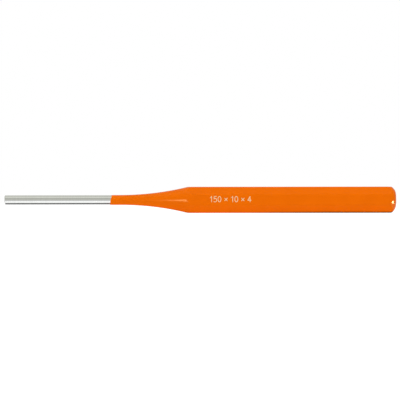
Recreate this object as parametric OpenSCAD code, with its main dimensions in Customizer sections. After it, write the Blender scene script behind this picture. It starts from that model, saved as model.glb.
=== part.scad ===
// Pin punch: one steel bar, turned to a pin and a flared neck, with a bonded colour coat on its handle.
// The tool lies along X on one of its eight flats: the tip points to -X, the head to +X, and Z is up.
// Lengths are in millimetres. The origin is under the middle of the tool, on the surface it lies on.

/* [Pin] */
// Diameter of the ground pin
pin_d = 3.6; // [2:0.1:6]
// Length of the parallel ground pin, from the tip to its root
pin_len = 40; // [25:0.5:60]
// Bevel that breaks the edge of the tip
tip_bevel = 0.25; // [0.1:0.05:0.6]

/* [Neck] */
// Length of the root, the slightly drafted stretch between the pin and the flare
root_len = 4.2; // [2:0.1:8]
// How much the root gains in diameter along its length
root_growth = 0.04; // [0.02:0.01:0.2]
// Length of the flare, from the root to the middle of a flat
flare_len = 26; // [15:0.5:40]

/* [Handle] */
// Length of the whole tool, over the coat on its head
tool_len = 150; // [120:1:200]
// Distance across the flats of the handle, over the coat
handle_flats = 10; // [8:0.1:14]
// Radius along the eight corners of the handle, over the coat
corner_r = 1; // [0.5:0.1:1.5]
// Radius turned round the edge of the head, over the coat
head_round_r = 3.4; // [1:0.1:3.9]

/* [Coat] */
// Height of the colour coat over the steel, with the film that bonds it
coat_t = 0.08; // [0.05:0.01:0.3]
// Thickness of the bonding film, the clearance between the steel and the coat
bond_t = 0.01; // [0.005:0.005:0.03]
// How far behind the pin's end the coat's lip lies, at mid height
lip_setback = 0.7; // [0.2:0.1:1.5]
// How much further from the tip the lip lies on top of the root than below it
lip_slant = 0.6; // [0:0.1:2]

/* [Hidden] */

// Fineness of round outlines, and of the flare's wide arc
round_fn = 180;
flare_fn = 1440;
// How far a cut runs past what it cuts
overrun = 1;

// The handle has eight sides, and a corner lies half a side's turn from the middle of a flat
side_count = 8;
side_angle = 360 / side_count;
corner_angle = side_angle / 2;

// The bare bar is smaller than the handle by the coat
bar_len = tool_len - coat_t;
bar_flats = handle_flats - 2 * coat_t;
bar_corner_r = corner_r - coat_t;
bar_round_r = head_round_r - coat_t;

// Radii of the turned form: the bar is turned to the circle through its sharp corners
pin_r = pin_d / 2;
root_r = pin_r + root_growth / 2;
bar_turn_r = bar_flats / 2 / cos(corner_angle);
head_face_r = bar_turn_r - bar_round_r;

// The flare is an arc that leaves the root along the tool and reaches a flat's depth at flare_len
flare_start = pin_len + root_len;
flare_rise = bar_flats / 2 - root_r;
flare_r = (flare_len * flare_len + flare_rise * flare_rise) / (2 * flare_rise);

// The lip crosses the axis this far from the tip, leaning back by this angle
lip_at = pin_len + lip_setback;
lip_angle = atan(lip_slant / pin_d);

// Height of the tool's axis above the surface it lies on
axis_z = handle_flats / 2;

bar_colour = [0.78, 0.78, 0.76];
coat_colour = [0.93, 0.42, 0.01];

// Lays a shape that was built up along Z down on its side, with its foot at the tip.
module along_tool() {
    translate([-tool_len / 2, 0, axis_z])
        rotate([0, 90, 0])
            children();
}

// Section of the bar under a skin: an octagon with its flats square to the axes and its corners round.
module bar_section(skin) {
    round_r = bar_corner_r + skin;
    centre_flats = bar_flats - 2 * bar_corner_r;
    side = centre_flats * tan(corner_angle);
    for (i = [0 : side_count / 2 - 1])
        rotate(i * side_angle)
            square([centre_flats + 2 * round_r, side], center = true);
    for (i = [0 : side_count - 1])
        rotate(i * side_angle + corner_angle)
            translate([centre_flats / 2 / cos(corner_angle), 0])
                circle(r = round_r, $fn = round_fn);
}

// Corner that is turned off the edge of the head: a square around a quarter circle.
module head_waste(edge_r) {
    difference() {
        square(edge_r + overrun);
        circle(r = edge_r, $fn = round_fn);
    }
}

// Half of the turned outline under a skin, as radius and distance from the tip.
module turned_section(skin) {
    foot = -skin;
    end = bar_len + skin;
    outer_r = bar_turn_r + skin;
    difference() {
        polygon([
            [0, foot],
            [pin_r + skin - tip_bevel, foot],
            [pin_r + skin, foot + tip_bevel],
            [pin_r + skin, pin_len],
            [root_r + skin, flare_start],
            [outer_r, flare_start],
            [outer_r, end],
            [0, end]
        ]);
        translate([root_r + flare_r, flare_start])
            circle(r = flare_r - skin, $fn = flare_fn);
        translate([head_face_r, bar_len - bar_round_r])
            head_waste(bar_round_r + skin);
    }
}

// Octagonal bar with the turned outline cut on it, under a skin of even thickness.
module punch_form(skin) {
    along_tool()
        intersection() {
            rotate_extrude($fn = round_fn)
                turned_section(skin);
            translate([0, 0, -overrun])
                linear_extrude(tool_len + 2 * overrun)
                    bar_section(skin);
        }
}

// Everything on the head's side of a plane that crosses the axis at a distance from the tip and leans back.
module behind_plane(from_tip, lean) {
    span = tool_len + overrun;
    translate([from_tip - tool_len / 2, 0, axis_z])
        rotate([0, lean, 0])
            translate([0, -span / 2, -span / 2])
                cube(span);
}

// Front end of the steel bar: the ground pin and its root, as far as the flare.
module punch_pin() {
    color(bar_colour)
        difference() {
            punch_form(0);
            behind_plane(flare_start, 0);
        }
}

// Rest of the steel bar, which the pin runs into face to face: flare, octagonal shank and head.
module punch_shank() {
    color(bar_colour)
        intersection() {
            punch_form(0);
            behind_plane(flare_start, 0);
        }
}

// Colour coat: an even skin over the neck, the shank and the head, bonded to the steel.
module handle_coat() {
    color(coat_colour)
        difference() {
            intersection() {
                punch_form(coat_t);
                behind_plane(lip_at, lip_angle);
            }
            punch_form(bond_t);
        }
}

punch_pin();
punch_shank();
handle_coat();
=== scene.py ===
"""Pin punch in a white studio: ground steel bar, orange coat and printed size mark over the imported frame."""

import logging
import math
from collections.abc import Iterable, Sequence
from dataclasses import dataclass
from enum import Enum

import bmesh
import bpy
import numpy as np
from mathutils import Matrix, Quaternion, Vector
from mathutils.geometry import delaunay_2d_cdt


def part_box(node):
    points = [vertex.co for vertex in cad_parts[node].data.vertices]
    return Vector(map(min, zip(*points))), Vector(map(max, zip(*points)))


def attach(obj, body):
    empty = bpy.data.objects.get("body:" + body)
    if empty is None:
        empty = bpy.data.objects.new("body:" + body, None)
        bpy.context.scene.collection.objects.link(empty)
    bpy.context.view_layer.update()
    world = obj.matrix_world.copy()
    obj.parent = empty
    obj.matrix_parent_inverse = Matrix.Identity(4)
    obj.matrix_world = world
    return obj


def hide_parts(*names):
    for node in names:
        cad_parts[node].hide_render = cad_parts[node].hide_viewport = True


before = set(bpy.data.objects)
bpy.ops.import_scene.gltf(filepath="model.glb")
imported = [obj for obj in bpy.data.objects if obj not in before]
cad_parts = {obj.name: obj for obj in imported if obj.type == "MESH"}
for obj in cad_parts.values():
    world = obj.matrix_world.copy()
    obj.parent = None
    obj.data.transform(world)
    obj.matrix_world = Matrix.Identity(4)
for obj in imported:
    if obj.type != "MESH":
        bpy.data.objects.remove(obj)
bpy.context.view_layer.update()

# The one body, which every piece rides on
BODY = "root"
# A millimetre, in metres
MM = 0.001
# Width and height of the picture, in pixels
PHOTO_PX = 400
# Range that most values of a noise lie in
NOISE_RANGE = (0.3, 0.7)
# Places of a mix node's two colours among its inputs, and of the mixed colour among its outputs
MIX_COLOURS = (6, 7)
MIX_RESULT = 2
# Power in watts of a square metre of lamp at a radiance of one
LAMP_POWER = 4
# Angle between the points of a drawn bow, in degrees
BOW_STEP = 15
# Choice of the triangulation that keeps only the triangles inside its outlines
INSIDE_ONLY = 1

log = logging.getLogger("pin_punch")

Point = tuple[float, float]
Colour = tuple[float, float, float, float]


def smooth_min(a: np.ndarray, b: np.ndarray, width: float) -> np.ndarray:
    """Smaller of two values, blended where they differ by less than a width, so that no corner is left."""
    share = np.clip(0.5 + 0.5 * (b - a) / width, 0.0, 1.0)
    return b + (a - b) * share - width * share * (1.0 - share)


def filleted(points: Sequence[Point], radius: float, steps: int) -> list[Point]:
    """Rounds the inner corners of an open outline.

    Args:
        points: Corners of the outline.
        radius: Radius of each rounding.
        steps: Number of chords in each rounding.

    Returns:
        The outline's points, with an arc at each inner corner.
    """
    made = [points[0]]
    for before, corner, after in zip(points, points[1:], points[2:]):
        here = np.array(corner)
        back = (np.array(before) - here) / math.dist(before, corner)
        ahead = (np.array(after) - here) / math.dist(after, corner)
        half = math.acos(float(np.clip(back @ ahead, -1.0, 1.0))) / 2
        middle = (back + ahead) / np.linalg.norm(back + ahead)
        centre = here + middle * radius / math.sin(half)
        start = here + back * radius / math.tan(half) - centre
        end = here + ahead * radius / math.tan(half) - centre
        for step in range(steps + 1):
            ray = start + (end - start) * step / steps
            made.append(tuple(centre + ray * radius / np.linalg.norm(ray)))
    made.append(points[-1])
    return made


def finished_mesh(name: str, mesh: bmesh.types.BMesh) -> bpy.types.Object:
    """Turns a working mesh into a smooth object in the scene.

    Args:
        name: Name of the new object.
        mesh: Working mesh, which is freed.

    Returns:
        The new object.
    """
    bmesh.ops.recalc_face_normals(mesh, faces=mesh.faces)
    data = bpy.data.meshes.new(name)
    mesh.to_mesh(data)
    mesh.free()
    data.shade_smooth()
    made = bpy.data.objects.new(name, data)
    bpy.context.scene.collection.objects.link(made)
    return made


def closed_sleeve(name: str, rings: np.ndarray) -> bpy.types.Object:
    """Closed skin over a row of rings, with a pole at each end.

    Args:
        name: Name of the new object.
        rings: Points as ring, place in the ring and coordinate. The first and last rings are closed by fans.

    Returns:
        The new object, smooth shaded, with its faces outwards.
    """
    mesh = bmesh.new()
    rows = [[mesh.verts.new(point) for point in ring] for ring in rings]
    for row, following in zip(rows, rows[1:]):
        for i in range(len(row)):
            mesh.faces.new((row[i - 1], row[i], following[i], following[i - 1]))
    for row in (rows[0], rows[-1]):
        pole = mesh.verts.new(sum((v.co for v in row), Vector()) / len(row))
        for i in range(len(row)):
            mesh.faces.new((row[i - 1], row[i], pole))
    return finished_mesh(name, mesh)


class NodeSheet:
    """Node tree of a material or world, with a short call that adds and wires a node."""

    def __init__(self, owner: bpy.types.Material | bpy.types.World) -> None:
        """Empties the owner's node tree.

        Args:
            owner: Material or world that the nodes belong to.
        """
        owner.use_nodes = True
        self.tree = owner.node_tree
        self.tree.nodes.clear()

    def add(self, kind: str, inputs: dict[str | int, object], **settings: object) -> bpy.types.Node:
        """Adds a node.

        Args:
            kind: Node type, without the word ShaderNode.
            inputs: Values of the node's inputs, by name or place. A socket is linked, anything else is set.
            **settings: Attributes of the node.

        Returns:
            The new node.
        """
        node = self.tree.nodes.new("ShaderNode" + kind)
        for key, value in settings.items():
            setattr(node, key, value)
        for key, value in inputs.items():
            if isinstance(value, bpy.types.NodeSocket):
                self.tree.links.new(value, node.inputs[key])
            else:
                node.inputs[key].default_value = value
        return node

    def noise(self, place: bpy.types.NodeSocket, scale: float, detail: float) -> bpy.types.NodeSocket:
        """Adds a cloudy noise around one half: scale is its waves to the metre, detail its finer layers."""
        return self.add("TexNoise", {"Vector": place, "Scale": scale, "Detail": detail}).outputs[0]

    def spread(self, value: bpy.types.NodeSocket, low: float, high: float) -> bpy.types.NodeSocket:
        """Spreads the usual range of a noise over the values from low to high."""
        usual = {"From Min": NOISE_RANGE[0], "From Max": NOISE_RANGE[1]}
        return self.add("MapRange", {"Value": value, **usual, "To Min": low, "To Max": high}).outputs[0]

    def shades(self, value: bpy.types.NodeSocket, low: Colour, high: Colour) -> bpy.types.NodeSocket:
        """Colours the usual range of a noise.

        Args:
            value: Noise to colour.
            low: Colour of the noise's low places.
            high: Colour of its high places.

        Returns:
            The colour.
        """
        ramp = self.add("ValToRGB", {0: value})
        for stop, place, colour in zip(ramp.color_ramp.elements, NOISE_RANGE, (low, high)):
            stop.position = place
            stop.color = colour
        return ramp.outputs[0]

    def rise(self, value: bpy.types.NodeSocket, low: float, high: float) -> bpy.types.NodeSocket:
        """Adds a smooth step from zero at low to one at high, which lies under low for a falling step."""
        limits = {"Value": value, "From Min": low, "From Max": high}
        return self.add("MapRange", limits, interpolation_type="SMOOTHSTEP").outputs[0]

    def product(self, *values: bpy.types.NodeSocket | float) -> bpy.types.NodeSocket:
        """Multiplies values.

        Args:
            *values: Sockets and numbers, starting with a socket.

        Returns:
            Their product.
        """
        made, *others = values
        for other in others:
            made = self.add("Math", {0: made, 1: other}, operation="MULTIPLY").outputs[0]
        return made

    def mixed(
        self, share: bpy.types.NodeSocket, low: bpy.types.NodeSocket, high: bpy.types.NodeSocket | Colour
    ) -> bpy.types.NodeSocket:
        """Mixes two colours, from low at a share of zero to high at a share of one."""
        colours = dict(zip(MIX_COLOURS, (low, high)))
        return self.add("Mix", {0: share, **colours}, data_type="RGBA").outputs[MIX_RESULT]

    def seen(self) -> bpy.types.NodeSocket:
        """Adds a test for rays that look at a surface: from the camera, off gloss or through glass.

        Returns:
            One for such rays, and zero for rays that only carry light.
        """
        path = self.add("LightPath", {}).outputs
        mirrored = self.add("Math", {0: path["Is Camera Ray"], 1: path["Is Glossy Ray"]}, operation="MAXIMUM")
        through = {0: mirrored.outputs[0], 1: path["Is Transmission Ray"]}
        return self.add("Math", through, operation="MAXIMUM").outputs[0]


@dataclass(frozen=True)
class CoatFinish:
    """Semi-gloss orange coat with a faint orange peel."""

    shade: Colour = (0.82, 0.144, 0.0004, 1.0)
    tint: Colour = (0.86, 0.153, 0.0004, 1.0)
    cloud_scale: float = 160.0
    cloud_detail: float = 3.0
    peel_scale: float = 1100.0
    peel_detail: float = 2.0
    peel_depth: float = 0.0015 * MM
    smooth: float = 0.165
    dull: float = 0.195
    gloss_level: float = 0.08
    gloss_tint: Colour = (1.0, 0.76, 0.3, 1.0)

    def material(self) -> bpy.types.Material:
        """Makes the material.

        Returns:
            Material with cloudy colour, uneven gloss and a fine peel.
        """
        made = bpy.data.materials.new("orange_coat")
        sheet = NodeSheet(made)
        place = sheet.add("TexCoord", {}).outputs["Object"]
        cloud = sheet.noise(place, self.cloud_scale, self.cloud_detail)
        peel = sheet.noise(place, self.peel_scale, self.peel_detail)
        bump = sheet.add("Bump", {"Strength": 1.0, "Distance": self.peel_depth, "Height": peel})
        skin = sheet.add("BsdfPrincipled", {
            "Base Color": sheet.shades(cloud, self.shade, self.tint),
            "Roughness": sheet.spread(peel, self.smooth, self.dull),
            "Specular IOR Level": self.gloss_level,
            "Specular Tint": self.gloss_tint,
            "Normal": bump.outputs[0],
        })
        sheet.add("OutputMaterial", {"Surface": skin.outputs[0]})
        return made


@dataclass(frozen=True)
class SteelFinish:
    """Bright steel, ground round the axis: its lines run round, and its gloss is drawn out along the axis."""

    shade: Colour = (0.80, 0.81, 0.80, 1.0)
    tint: Colour = (0.86, 0.87, 0.86, 1.0)
    line_scale: float = 5200.0
    line_detail: float = 2.0
    line_stretch: float = 0.02
    line_depth: float = 0.0001 * MM
    smooth: float = 0.07
    dull: float = 0.10
    draw: float = 0.6
    quarter_turn: float = 0.25

    def material(self) -> bpy.types.Material:
        """Makes the material.

        Returns:
            Material with grinding lines in its colour, gloss and relief.
        """
        made = bpy.data.materials.new("ground_steel")
        sheet = NodeSheet(made)
        place = sheet.add("TexCoord", {}).outputs["Object"]
        rounds = (1.0, self.line_stretch, self.line_stretch)
        drawn = sheet.add("VectorMath", {0: place, 1: rounds}, operation="MULTIPLY").outputs[0]
        lines = sheet.noise(drawn, self.line_scale, self.line_detail)
        along = sheet.add("Tangent", {}, direction_type="RADIAL", axis="X")
        bump = sheet.add("Bump", {"Strength": 1.0, "Distance": self.line_depth, "Height": lines})
        metal = sheet.add("BsdfPrincipled", {
            "Base Color": sheet.shades(lines, self.shade, self.tint),
            "Metallic": 1.0,
            "Roughness": sheet.spread(lines, self.smooth, self.dull),
            "Anisotropic": self.draw,
            "Anisotropic Rotation": self.quarter_turn,
            "Tangent": along.outputs[0],
            "Normal": bump.outputs[0],
        })
        sheet.add("OutputMaterial", {"Surface": metal.outputs[0]})
        return made


@dataclass(frozen=True)
class InkFinish:
    """Cream printing ink, a little uneven in cover."""

    shade: Colour = (0.86, 0.62, 0.32, 1.0)
    tint: Colour = (0.94, 0.74, 0.44, 1.0)
    cover_scale: float = 2500.0
    cover_detail: float = 2.0
    smooth: float = 0.40
    dull: float = 0.60

    def material(self) -> bpy.types.Material:
        """Makes the material.

        Returns:
            Material with a thin, uneven cover.
        """
        made = bpy.data.materials.new("cream_ink")
        sheet = NodeSheet(made)
        place = sheet.add("TexCoord", {}).outputs["Object"]
        cover = sheet.noise(place, self.cover_scale, self.cover_detail)
        ink = sheet.add("BsdfPrincipled", {
            "Base Color": sheet.shades(cover, self.shade, self.tint),
            "Roughness": sheet.spread(cover, self.smooth, self.dull),
        })
        sheet.add("OutputMaterial", {"Surface": ink.outputs[0]})
        return made


@dataclass(frozen=True)
class FloorFinish:
    """Matt table that looks white. The tool's gloss shows a near strip, with painted shade under the tool.

    Lifts are strengths of the table's own light, which grows between two distances from the tool.
    In gloss, the painted shade fades out close to the tool, and the table itself further away.
    """

    paper: Colour = (0.35, 0.35, 0.35, 1.0)
    # Painted shade: dark colour laid under the tool, which only gloss shows
    shade: Colour = (0.21, 0.21, 0.21, 1.0)
    near_lift: float = 0.77
    far_lift: float = 1.0
    lift_start: float = 50 * MM
    lift_end: float = 400 * MM
    painted_shade_fade: float = 0.88 * MM
    gloss_near: float = 3.2 * MM
    gloss_far: float = 7.2 * MM

    @staticmethod
    def off_outline(sheet: NodeSheet, form: "PunchForm") -> bpy.types.NodeSocket:
        """Adds the distance from the tool's outline, seen from above.

        Args:
            sheet: Node tree that the nodes are added to.
            form: Form of the tool that lies on the table.

        Returns:
            The distance, under zero below the tool.
        """
        place = sheet.add("TexCoord", {}).outputs["Object"]
        along = sheet.add("SeparateXYZ", {0: place}).outputs["X"]
        flare_x = form.tip_x + form.flare_start
        flared = sheet.rise(along, flare_x, flare_x + form.flare_len)
        growth = sheet.product(flared, form.flats / 2 - form.pin_r)
        half_width = sheet.add("Math", {0: growth, 1: form.pin_r}).outputs[0]
        outline = sheet.add("CombineXYZ", {0: form.length / 2, 1: half_width}).outputs[0]
        sides = sheet.add("VectorMath", {0: place}, operation="ABSOLUTE").outputs[0]
        past = sheet.add("VectorMath", {0: sides, 1: outline}, operation="SUBTRACT").outputs[0]
        parts = sheet.add("SeparateXYZ", {0: past}).outputs
        return sheet.add("Math", {0: parts["X"], 1: parts["Y"]}, operation="MAXIMUM").outputs[0]

    def material(self, form: "PunchForm") -> bpy.types.Material:
        """Makes the material.

        Args:
            form: Form of the tool that lies on the table.

        Returns:
            Matt material with light of its own, which the tool's gloss shows only close to the tool.
        """
        made = bpy.data.materials.new("white_table")
        sheet = NodeSheet(made)
        off = self.off_outline(sheet, form)
        gloss = sheet.add("LightPath", {}).outputs["Is Glossy Ray"]
        reach = {"From Min": self.lift_start, "From Max": self.lift_end}
        levels = {"To Min": self.near_lift, "To Max": self.far_lift}
        lift = sheet.add("MapRange", {"Value": off, **reach, **levels}).outputs[0]
        light = sheet.add("Emission", {"Strength": sheet.product(sheet.seen(), lift)})
        paper = sheet.add("BsdfDiffuse", {"Color": self.paper})
        bright = sheet.add("AddShader", {0: paper.outputs[0], 1: light.outputs[0]})
        # Painted shade: a dark sheet under the tool, which takes the table's place for glossy rays only
        painted_shade_paper = sheet.add("BsdfDiffuse", {"Color": self.shade})
        under = sheet.product(gloss, sheet.rise(off, self.painted_shade_fade, 0.0))
        table = sheet.add("MixShader", {0: under, 1: bright.outputs[0], 2: painted_shade_paper.outputs[0]})
        away = sheet.product(gloss, sheet.rise(off, self.gloss_near, self.gloss_far))
        open_air = sheet.add("BsdfTransparent", {})
        both = sheet.add("MixShader", {0: away, 1: table.outputs[0], 2: open_air.outputs[0]})
        sheet.add("OutputMaterial", {"Surface": both.outputs[0]})
        return made


@dataclass(frozen=True)
class PunchForm:
    """Form that the steel and its coat share: an octagonal bar with a turned outline cut on it.

    Stations are distances from the tip along the tool. A skin is a height over the bare steel.
    """

    tip_x: float
    axis_z: float
    length: float
    flats: float
    coat_t: float
    root_r: float
    flare_start: float
    pin_r: float = 1.8 * MM
    pin_len: float = 40 * MM
    tip_bevel: float = 0.25 * MM
    flare_len: float = 26 * MM
    flare_past_share: float = 3.0
    corner_r: float = 1 * MM
    head_round_r: float = 3.4 * MM
    face_ring_shares: tuple[float, ...] = (0.75, 0.5, 0.25)
    edge_blend: float = 0.14 * MM
    sides: int = 8
    flat_steps: int = 16
    corner_steps: int = 8

    @classmethod
    def from_frame(cls) -> "PunchForm":
        """Reads the form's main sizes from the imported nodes.

        Returns:
            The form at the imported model's size and place.
        """
        pin_low, pin_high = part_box("punch_pin")
        _, shank_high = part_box("punch_shank")
        coat_low, coat_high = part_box("handle_coat")
        return cls(
            tip_x=pin_low.x,
            axis_z=(coat_low.z + coat_high.z) / 2,
            length=coat_high.x - pin_low.x,
            flats=coat_high.z - coat_low.z,
            coat_t=coat_high.x - shank_high.x,
            root_r=(pin_high.z - pin_low.z) / 2,
            flare_start=pin_high.x - pin_low.x,
        )

    @property
    def bar_len(self) -> float:
        """Length of the bare bar."""
        return self.length - self.coat_t

    @property
    def half_turn(self) -> float:
        """Angle from the middle of a flat to a corner."""
        return math.pi / self.sides

    def angles(self) -> np.ndarray:
        """Places round the section, closer together on its corners.

        Returns:
            Angles from the side of the section, in rising order.
        """
        straight = math.atan2((self.flats / 2 - self.corner_r) * math.tan(self.half_turn), self.flats / 2)
        flat = np.linspace(-straight, straight, self.flat_steps, endpoint=False)
        corner = np.linspace(straight, 2 * self.half_turn - straight, self.corner_steps, endpoint=False)
        side = np.concatenate([flat, corner])
        return np.concatenate([side + 2 * self.half_turn * i for i in range(self.sides)])

    def section(self, angles: np.ndarray, skin: float) -> np.ndarray:
        """Radius of the octagon with round corners.

        Args:
            angles: Places round the section.
            skin: Height over the bare steel.

        Returns:
            Distance from the axis at each place.
        """
        over = skin - self.coat_t
        flat_r = self.flats / 2 + over
        round_r = self.corner_r + over
        centre_r = (self.flats / 2 - self.corner_r) / math.cos(self.half_turn)
        turn = 2 * self.half_turn
        from_flat = np.abs((angles + self.half_turn) % turn - self.half_turn)
        from_corner = self.half_turn - from_flat
        straight = (self.flats / 2 - self.corner_r) * math.tan(self.half_turn) / flat_r
        on_flat = flat_r / np.cos(from_flat)
        reach = np.maximum(round_r**2 - (centre_r * np.sin(from_corner)) ** 2, 0.0)
        on_corner = centre_r * np.cos(from_corner) + np.sqrt(reach)
        return np.where(np.tan(from_flat) <= straight, on_flat, on_corner)

    def flare(self, skin: float, spacing: float) -> list[Point]:
        """Outline of the flare, past the depth at which it meets the corners.

        Args:
            skin: Height over the bare steel.
            spacing: Distance between stations.

        Returns:
            Stations and radii.
        """
        rise = self.flats / 2 - self.coat_t - self.root_r
        arc_r = (self.flare_len**2 + rise**2) / (2 * rise)
        run = self.flare_len + self.corner_r * self.flare_past_share
        count = round(run / spacing)
        made = []
        for i in range(count + 1):
            along = run * i / count
            radius = self.root_r + arc_r - math.sqrt((arc_r - skin) ** 2 - along**2)
            made.append((self.flare_start + along, radius))
        return made

    def head(self, skin: float, steps: int) -> list[Point]:
        """Outline of the head: turned edge and striking face.

        Args:
            skin: Height over the bare steel.
            steps: Number of chords in the turned edge.

        Returns:
            Stations and radii, from the shank to near the middle of the face.
        """
        bare_round_r = self.head_round_r - self.coat_t
        turn_r = (self.flats / 2 - self.coat_t) / math.cos(self.half_turn)
        face_r = turn_r - bare_round_r
        round_r = bare_round_r + skin
        made = []
        for i in range(steps + 1):
            angle = math.pi / 2 * i / steps
            station = self.bar_len - bare_round_r + round_r * math.sin(angle)
            made.append((station, face_r + round_r * math.cos(angle)))
        end = made[-1][0]
        made.extend((end, face_r * share) for share in self.face_ring_shares)
        return made

    def rings(self, outline: Sequence[Point], skin: float) -> np.ndarray:
        """Rings of the turned outline, cut back to the octagon.

        Args:
            outline: Stations and radii.
            skin: Height of the octagon over the bare steel.

        Returns:
            Points as ring, place in the ring and coordinate.
        """
        angles = self.angles()
        flat = self.section(angles, skin)
        made = np.empty((len(outline), len(angles), 3))
        for ring, (station, radius) in zip(made, outline):
            at = smooth_min(np.full_like(flat, radius), flat, self.edge_blend)
            ring[:, 0] = self.tip_x + station
            ring[:, 1] = at * np.cos(angles)
            ring[:, 2] = self.axis_z + at * np.sin(angles)
        return made


@dataclass
class SteelBar:
    """The steel of the punch: pin, flared neck, octagonal shank and head in one bar."""

    form: PunchForm
    finish: SteelFinish
    tip_ring_share: float = 0.3
    edge_r: float = 0.06 * MM
    edge_steps: int = 4
    spacing: float = 1 * MM
    head_steps: int = 16

    def outline(self) -> list[Point]:
        """Outline of the bare bar.

        Returns:
            Stations and radii, from the tip to the head.
        """
        form = self.form
        inner = form.pin_r - form.tip_bevel
        tip = [
            (0.0, inner * self.tip_ring_share),
            (0.0, inner),
            (form.tip_bevel, form.pin_r),
            (form.pin_len, form.pin_r),
        ]
        made = filleted(tip, self.edge_r, self.edge_steps)
        return made + form.flare(0.0, self.spacing) + form.head(0.0, self.head_steps)

    def build(self) -> bpy.types.Object:
        """Builds and dresses the bar.

        Returns:
            The bar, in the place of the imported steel.
        """
        made = closed_sleeve("steel_bar", self.form.rings(self.outline(), 0.0))
        made.data.materials.append(self.finish.material())
        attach(made, BODY)
        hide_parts("punch_pin", "punch_shank")
        return made


@dataclass
class HandleCoat:
    """Orange coat over the neck, the shank and the head, with a slanting lip on the neck's root.

    Each of the lip's waves is a count round the root, a start in radians and a share of the wave's height.
    """

    form: PunchForm
    finish: CoatFinish
    lip_at: float = 40.7 * MM
    lip_slant: float = 0.6 * MM
    lip_wave: float = 0.05 * MM
    lip_waves: tuple[tuple[int, float, float], ...] = ((3, 1.0, 1.0), (5, 2.4, 0.6))
    lip_thin_share: float = 0.45
    lip_fade: float = 0.5 * MM
    bond_t: float = 0.01 * MM
    spacing: float = 0.2 * MM
    inner_spacing: float = 1 * MM
    head_steps: int = 32
    inner_head_steps: int = 16
    lip_steps: int = 10
    root_steps: int = 10

    def lip_stations(self, angles: np.ndarray) -> np.ndarray:
        """Where the lip runs round the root.

        Args:
            angles: Places round the root.

        Returns:
            Station of the lip at each place.
        """
        form = self.form
        lean = self.lip_slant / (2 * form.pin_r) * form.root_r * np.sin(angles)
        wave = sum(share * np.sin(count * angles + start) for count, start, share in self.lip_waves)
        return self.lip_at + lean + self.lip_wave * wave

    def root_rings(self, skin: float, shares: Iterable[float], heights: Iterable[float]) -> np.ndarray:
        """Rings between the lip and the flare.

        Args:
            skin: Height at the flare's start.
            shares: How far each ring lies from the lip to the flare's start, from 0 to 1.
            heights: Height of each ring over the bare root.

        Returns:
            Points as ring, place in the ring and coordinate.
        """
        form = self.form
        angles = form.angles()
        lip = self.lip_stations(angles)
        made = []
        for share, height in zip(shares, heights):
            station = lip + (form.flare_start - lip) * share
            radius = form.root_r + min(height, skin)
            across = radius * np.cos(angles)
            upright = form.axis_z + radius * np.sin(angles)
            made.append(np.stack([form.tip_x + station, across, upright], axis=1))
        return np.array(made)

    def lip_shape(self) -> tuple[list[float], list[float]]:
        """Rounded edge of the lip and the stretch behind it, where the coat thickens.

        Returns:
            Shares of the way to the flare's start, and heights over the root.
        """
        run = self.form.flare_start - self.lip_at
        thin = self.form.coat_t * (1 - self.lip_thin_share)
        bead = thin - self.bond_t
        shares, heights = [], []
        for i in range(self.lip_steps + 1):
            angle = math.pi / 2 * i / self.lip_steps
            shares.append(bead * (1 - math.cos(angle)) / run)
            heights.append(self.bond_t + bead * math.sin(angle))
        for i in range(1, self.root_steps):
            share = (i / self.root_steps) ** 2
            fade = math.exp(-share * run / self.lip_fade)
            shares.append(max(share, shares[-1] + bead / run))
            heights.append(self.form.coat_t - (self.form.coat_t - thin) * fade)
        return shares, heights

    def build(self) -> bpy.types.Object:
        """Builds and dresses the coat.

        Returns:
            The coat as a closed shell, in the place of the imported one.
        """
        form = self.form
        shares, heights = self.lip_shape()
        outer = form.flare(form.coat_t, self.spacing) + form.head(form.coat_t, self.head_steps)
        inner = form.flare(self.bond_t, self.inner_spacing) + form.head(self.bond_t, self.inner_head_steps)
        under = np.linspace(1.0, 0.0, self.root_steps, endpoint=False)[1:]
        made = closed_sleeve("handle_coat_orange", np.concatenate([
            form.rings(inner, self.bond_t)[::-1],
            self.root_rings(self.bond_t, under, [self.bond_t] * len(under)),
            self.root_rings(form.coat_t, shares, heights),
            form.rings(outer, form.coat_t),
        ]))
        made.data.materials.append(self.finish.material())
        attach(made, BODY)
        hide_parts("handle_coat")
        return made


def bow(centre: Point, radii: Point, start: float, end: float) -> list[Point]:
    """Stroke along an ellipse.

    Args:
        centre: Middle of the ellipse.
        radii: Half its width and half its height.
        start: Angle where the stroke starts, in degrees.
        end: Angle where it ends.

    Returns:
        Points along the stroke.
    """
    count = max(2, round(abs(end - start) / BOW_STEP))
    turns = [math.radians(start + (end - start) * i / count) for i in range(count + 1)]
    return [(centre[0] + radii[0] * math.cos(a), centre[1] + radii[1] * math.sin(a)) for a in turns]


class Glyph(Enum):
    """Strokes of a sign and its width, as shares of the height of a figure."""

    ZERO = ((bow((0.3, 0.5), (0.27, 0.5), 0, 360),), 0.6)
    ONE = (([(0.1, 0.76), (0.34, 1.0), (0.34, 0.0)],), 0.5)
    FOUR = (([(0.44, 0.0), (0.44, 1.0), (0.04, 0.3), (0.62, 0.3)],), 0.64)
    FIVE = (
        ([(0.54, 1.0), (0.12, 1.0), (0.08, 0.54)] + bow((0.28, 0.32), (0.28, 0.32), 135, -140),),
        0.58,
    )
    TIMES = (([(0.06, 0.2), (0.54, 0.68)], [(0.06, 0.68), (0.54, 0.2)]), 0.6)
    GAP = ((), 0.18)


SIZE_SIGNS = (
    Glyph.ONE, Glyph.FIVE, Glyph.ZERO, Glyph.GAP, Glyph.TIMES, Glyph.GAP,
    Glyph.ONE, Glyph.ZERO, Glyph.GAP, Glyph.TIMES, Glyph.GAP, Glyph.FOUR,
)


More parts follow.
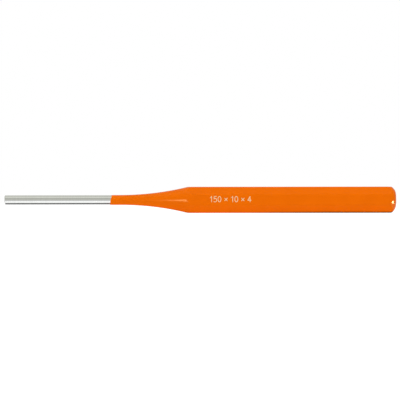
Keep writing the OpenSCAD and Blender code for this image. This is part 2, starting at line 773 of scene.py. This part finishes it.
@dataclass
class SizeMark:
    """Printed size on the flat that faces the camera: length, width across flats and nominal pin.

    The ink reaches a little into the coat, by its seat, so that no gap shows below it.
    """

    form: PunchForm
    finish: InkFinish
    start: float = 78.6 * MM
    height: float = 2.1 * MM
    rise: float = 0.26 * MM
    stroke: float = 0.22 * MM
    spacing_share: float = 0.2
    ink_t: float = 0.012 * MM
    seat_t: float = 0.004 * MM
    cap_steps: int = 8
    merge_mm: float = 1e-5

    def strokes(self) -> list[list[Point]]:
        """Strokes of the whole mark.

        Returns:
            Strokes as station and height over the axis.
        """
        made = []
        at = self.start
        for glyph in SIZE_SIGNS:
            lines, width = glyph.value
            for line in lines:
                made.append([
                    (at + x * self.height, self.rise + (y - 0.5) * self.height) for x, y in line
                ])
            at += (width + self.spacing_share) * self.height
        return made

    def capsule(self, start: Point, end: Point) -> list[Point]:
        """Outline of one straight bit of a stroke, with round ends.

        Args:
            start: Where it starts.
            end: Where it ends.

        Returns:
            Corners of the outline, in turn.
        """
        lean = math.atan2(end[1] - start[1], end[0] - start[0])
        made = []
        for middle, first in ((end, lean - math.pi / 2), (start, lean + math.pi / 2)):
            for i in range(self.cap_steps + 1):
                angle = first + math.pi * i / self.cap_steps
                made.append((
                    middle[0] + self.stroke / 2 * math.cos(angle),
                    middle[1] + self.stroke / 2 * math.sin(angle),
                ))
        return made

    def layer(self, points: Sequence[Vector], triangles: Sequence[Sequence[int]]) -> bmesh.types.BMesh:
        """Raises a flat drawing into a closed layer of ink.

        Args:
            points: Points of the drawing, in millimetres.
            triangles: Triangles of the drawing.

        Returns:
            Working mesh of the layer.
        """
        mesh = bmesh.new()
        form = self.form
        decks = []
        for depth in (self.seat_t, -self.ink_t):
            at_y = -form.flats / 2 + depth
            places = [(form.tip_x + p.x * MM, at_y, form.axis_z + p.y * MM) for p in points]
            decks.append([mesh.verts.new(place) for place in places])
        used = {}
        for triangle in triangles:
            for deck in decks:
                mesh.faces.new([deck[i] for i in triangle])
            for a, b in zip(triangle, [*triangle[1:], triangle[0]]):
                used.setdefault(frozenset((a, b)), []).append((a, b))
        for (a, b), *others in used.values():
            if not others:
                mesh.faces.new((decks[0][a], decks[0][b], decks[1][b], decks[1][a]))
        bmesh.ops.delete(mesh, geom=[v for v in mesh.verts if not v.link_faces], context="VERTS")
        return mesh

    def build(self) -> bpy.types.Object:
        """Builds and dresses the mark.

        Returns:
            A thin layer of ink on the flat.
        """
        points, faces = [], []
        for line in self.strokes():
            for start, end in zip(line, line[1:]):
                outline = [Vector((x / MM, y / MM)) for x, y in self.capsule(start, end)]
                faces.append(list(range(len(points), len(points) + len(outline))))
                points.extend(outline)
        drawing = delaunay_2d_cdt(points, [], faces, INSIDE_ONLY, self.merge_mm)
        flat_points, _, triangles, _, _, sources = drawing
        inked = [triangle for triangle, source in zip(triangles, sources) if source]
        made = finished_mesh("size_mark", self.layer(flat_points, inked))
        made.data.materials.append(self.finish.material())
        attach(made, BODY)
        return made


@dataclass(frozen=True)
class Softbox:
    """Studio lamp with a flat, even front, which neither the camera nor gloss shows."""

    centre: tuple[float, float, float]
    facing: tuple[float, float, float]
    width: float
    height: float
    radiance: float
    tool_only: bool = False

    def place(self, name: str, pieces: Sequence[bpy.types.Object]) -> bpy.types.Object:
        """Puts the lamp in the scene.

        Args:
            name: Name of the lamp.
            pieces: Pieces of the tool, all that a tool_only lamp lights.

        Returns:
            The lamp.
        """
        data = bpy.data.lights.new(name, "AREA")
        data.shape = "RECTANGLE"
        data.size, data.size_y = self.width, self.height
        data.energy = LAMP_POWER * self.width * self.height * self.radiance
        made = bpy.data.objects.new(name, data)
        bpy.context.scene.collection.objects.link(made)
        made.location = self.centre
        made.rotation_mode = "QUATERNION"
        made.rotation_quaternion = Vector(self.facing).to_track_quat("-Z", "Y")
        made.visible_camera = False
        made.visible_glossy = False
        if self.tool_only:
            made.light_linking.receiver_collection = bpy.data.collections.new(name)
            for piece in pieces:
                made.light_linking.receiver_collection.objects.link(piece)
        return made


class Lamp(Enum):
    """Lamps of the studio: a wide one high in front, a low one behind and a dim sheet just over the table."""

    KEY = Softbox(
        centre=(0.0, -0.44, 1.08),
        facing=(0.0, 0.44, -1.08),
        width=1.2,
        height=0.8,
        radiance=2.0,
    )
    BACK = Softbox(
        centre=(0.0, 1.1, 0.22),
        facing=(0.0, -1.1, -0.22),
        width=1.2,
        height=0.4,
        radiance=3.0,
        tool_only=True,
    )
    FILL = Softbox(
        centre=(0.0, 0.0, -0.01 * MM),
        facing=(0.0, 0.0, 1.0),
        width=0.4,
        height=0.3,
        radiance=0.57,
    )


@dataclass(frozen=True)
class Gleam:
    """Lamp that shows only as a highlight in the gloss of one piece, and that the table doesn't shade.

    It is aimed at a station on the tool's axis, from a distance. Angles are in degrees: azimuth 0 lies on
    the camera's side and 90 beyond the head, the turn is about the lamp's own beam, and the spread is the
    beam's full angle. The radiance is that of a full beam, and a narrower one is brighter along its middle.
    """

    station: float
    azimuth: float
    elevation: float
    width: float
    height: float
    turn: float
    radiance: float
    distance: float = 0.5
    spread: float = 180.0

    def place(self, name: str, form: PunchForm, piece: bpy.types.Object) -> bpy.types.Object:
        """Puts the lamp in the scene.

        Args:
            name: Name of the lamp.
            form: Form of the tool, whose axis the lamp is aimed at.
            piece: The only piece that the lamp lights, and that can shade it.

        Returns:
            The lamp.
        """
        azimuth, elevation = math.radians(self.azimuth), math.radians(self.elevation)
        level = math.cos(elevation)
        out = Vector((level * math.sin(azimuth), -level * math.cos(azimuth), math.sin(elevation)))
        centre = Vector((form.tip_x + self.station, 0.0, form.axis_z)) + out * self.distance
        box = Softbox(tuple(centre), tuple(-out), self.width, self.height, self.radiance, tool_only=True)
        made = box.place(name, [piece])
        made.rotation_quaternion = made.rotation_quaternion @ Quaternion((0, 0, 1), math.radians(self.turn))
        made.data.spread = math.radians(self.spread)
        made.visible_diffuse = False
        made.visible_glossy = True
        made.light_linking.blocker_collection = made.light_linking.receiver_collection
        return made


class Highlight(Enum):
    """Highlights on the coat: along the neck and on the edge of the head."""

    NECK = Gleam(
        station=66 * MM,
        azimuth=-26.5,
        elevation=-5.5,
        width=0.09,
        height=0.09,
        turn=45,
        radiance=46.0,
    )
    HEAD = Gleam(
        station=136.5 * MM,
        azimuth=71,
        elevation=-12,
        width=0.0105,
        height=0.0055,
        turn=15,
        radiance=10.5,
        distance=0.0205,
        spread=44.0,
    )


@dataclass
class Studio:
    """White table, pale surroundings, lamps and camera.

    The light of the surroundings goes from a front level to a back level. Gloss shows them as bands, each
    given by its elevation in degrees and its level, and tinted above the horizon.
    """

    form: PunchForm
    finish: FloorFinish
    floor_side: float = 6.0
    floor_drop: float = 0.02 * MM
    front_level: float = 0.68
    back_level: float = 0.3
    mirror_bands: tuple[Point, ...] = (
        (-60, 1.28), (-33, 1.22), (-20, 0.80), (-8, 0.58), (4, 0.56), (16, 0.57), (41, 0.44), (64, 0.88),
        (84, 0.52),
    )
    sky_tint: tuple[float, float, float] = (1.0, 1.01, 0.92)
    white: Colour = (1.0, 1.0, 1.0, 1.0)
    roll: float = math.radians(0.07)
    lens: float = 300.0
    sensor: float = 36.0
    clip_start: float = 1 * MM
    tool_px: float = 391.2
    centre_px: Point = (200.3, 199.88)

    def floor(self) -> bpy.types.Object:
        """Lays the table.

        Returns:
            The table.
        """
        mesh = bmesh.new()
        bmesh.ops.create_grid(mesh, x_segments=1, y_segments=1, size=self.floor_side / 2)
        made = finished_mesh("white_table", mesh)
        made.location.z = -self.floor_drop
        made.data.materials.append(self.finish.material(self.form))
        return made

    def bands(self, sheet: NodeSheet, height: bpy.types.NodeSocket) -> bpy.types.NodeSocket:
        """Adds what gloss shows of the surroundings.

        Args:
            sheet: Node tree that the nodes are added to.
            height: Height of the way that is looked along, from -1 straight down to 1 straight up.

        Returns:
            The colour along that way.
        """
        elevation = sheet.add("Math", {0: height}, operation="ARCSINE").outputs[0]
        upright = {"From Min": -math.pi / 2, "From Max": math.pi / 2}
        ramp = sheet.add("ValToRGB", {0: sheet.add("MapRange", {"Value": elevation, **upright}).outputs[0]})
        stops = ramp.color_ramp.elements
        while len(stops) < len(self.mirror_bands):
            stops.new(1.0)
        for stop, (degrees, level) in zip(stops, self.mirror_bands):
            tint = self.sky_tint if degrees > 0 else self.white[:3]
            stop.position = (degrees + 90.0) / 180.0
            stop.color = (*(level * part for part in tint), 1.0)
        return ramp.outputs[0]

    def world(self) -> None:
        """Makes the surroundings: white to the camera, banded by elevation in gloss, else soft."""
        world = bpy.data.worlds.new("studio")
        bpy.context.scene.world = world
        sheet = NodeSheet(world)
        way = sheet.add("TexCoord", {}).outputs["Generated"]
        parts = sheet.add("SeparateXYZ", {0: way}).outputs
        limits = {"From Min": -1.0, "From Max": 1.0, "To Min": self.front_level, "To Max": self.back_level}
        soft = sheet.add("MapRange", {"Value": parts["Y"], **limits}).outputs[0]
        path = sheet.add("LightPath", {}).outputs
        light = sheet.mixed(path["Is Glossy Ray"], soft, self.bands(sheet, parts["Z"]))
        sky = sheet.add("Background", {"Color": sheet.mixed(path["Is Camera Ray"], light, self.white)})
        sheet.add("OutputWorld", {"Surface": sky.outputs[0]})

    def camera(self) -> bpy.types.Object:
        """Sets up the camera square to the tool's side.

        Returns:
            The camera, which the scene then uses.
        """
        data = bpy.data.cameras.new("camera")
        data.lens, data.sensor_width = self.lens, self.sensor
        data.clip_start = self.clip_start
        px = self.form.length / self.tool_px
        distance = PHOTO_PX * px * self.lens / self.sensor
        middle = PHOTO_PX / 2
        across = self.form.tip_x + self.form.length / 2 - (self.centre_px[0] - middle) * px
        upright = self.form.axis_z + (self.centre_px[1] - middle) * px
        made = bpy.data.objects.new("camera", data)
        bpy.context.scene.collection.objects.link(made)
        made.location = (across, -distance, upright)
        made.rotation_euler = (math.pi / 2, self.roll, 0.0)
        bpy.context.scene.camera = made
        return made

    def build(self, pieces: Sequence[bpy.types.Object], coat: bpy.types.Object) -> None:
        """Sets up everything round the tool.

        Args:
            pieces: All pieces of the tool.
            coat: The one that shows the highlights.
        """
        bpy.context.scene.view_settings.view_transform = "Standard"
        self.camera()
        self.floor()
        self.world()
        for lamp in Lamp:
            lamp.value.place(lamp.name.lower(), pieces)
        for highlight in Highlight:
            highlight.value.place(highlight.name.lower(), self.form, coat)


def main() -> None:
    """Builds the tool and the studio, and reports each piece."""
    logging.basicConfig(level=logging.INFO, format="%(name)s: %(message)s")
    form = PunchForm.from_frame()
    log.info("frame of %d nodes, %.1f mm long", len(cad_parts), form.length / MM)
    steel = SteelBar(form, SteelFinish()).build()
    coat = HandleCoat(form, CoatFinish()).build()
    mark = SizeMark(form, InkFinish()).build()
    for piece in (steel, coat, mark):
        log.info("%s: %d faces", piece.name, len(piece.data.polygons))
    Studio(form, FloorFinish()).build((steel, coat, mark), coat)


if __name__ == "__main__":
    main()
